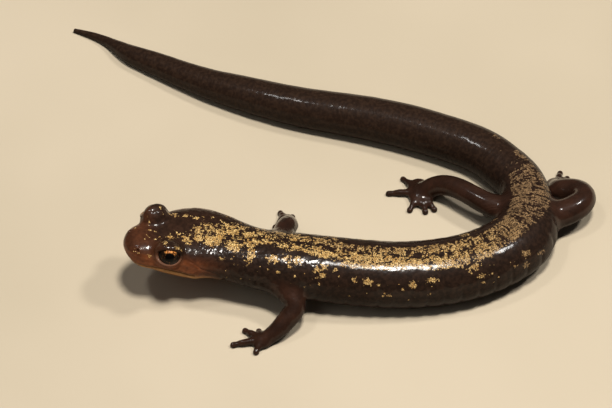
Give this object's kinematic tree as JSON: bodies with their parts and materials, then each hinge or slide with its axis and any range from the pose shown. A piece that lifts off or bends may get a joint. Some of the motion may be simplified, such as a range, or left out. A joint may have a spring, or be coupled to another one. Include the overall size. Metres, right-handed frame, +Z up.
{
  "type": "peaks of otter salamander",
  "caption": "Still, life-size model of a slender woodland salamander: head raised, round body bent at the hips, long round tail swept back beside it.",
  "frame": {"origin": "on the floor under the middle of the animal's box", "axes": "+Z up; -X the way the head points; +Y from the near side of the trunk towards the tail"},
  "size_m": [0.0568, 0.0456, 0.0085],
  "materials": {
    "head_skin": "wet, glossy, reddish brown",
    "back_skin": "wet, glossy, near-black brown with brassy flecks",
    "tail_skin": "wet, glossy, dark brown",
    "leg_skin": "wet, glossy, maroon brown",
    "eye": "wet, mirror-like black"
  },
  "bodies": {
    "root": {"head": "head_skin", "neck": "back_skin", "torso_front": "back_skin", "torso_middle": "back_skin", "torso_rear": "back_skin", "pelvis": "back_skin", "tail_root": "tail_skin", "tail_middle": "tail_skin", "tail_rear": "tail_skin", "tail_tip": "tail_skin", "eye_left": "eye", "eye_right": "eye", "front_left_upper": "leg_skin", "front_left_lower": "leg_skin", "front_left_foot": "leg_skin", "front_right_upper": "leg_skin", "front_right_lower": "leg_skin", "front_right_foot": "leg_skin", "hind_left_upper": "leg_skin", "hind_left_lower": "leg_skin", "hind_left_foot": "leg_skin", "hind_right_upper": "leg_skin", "hind_right_lower": "leg_skin", "hind_right_foot": "leg_skin"}
  },
  "joints": []
}
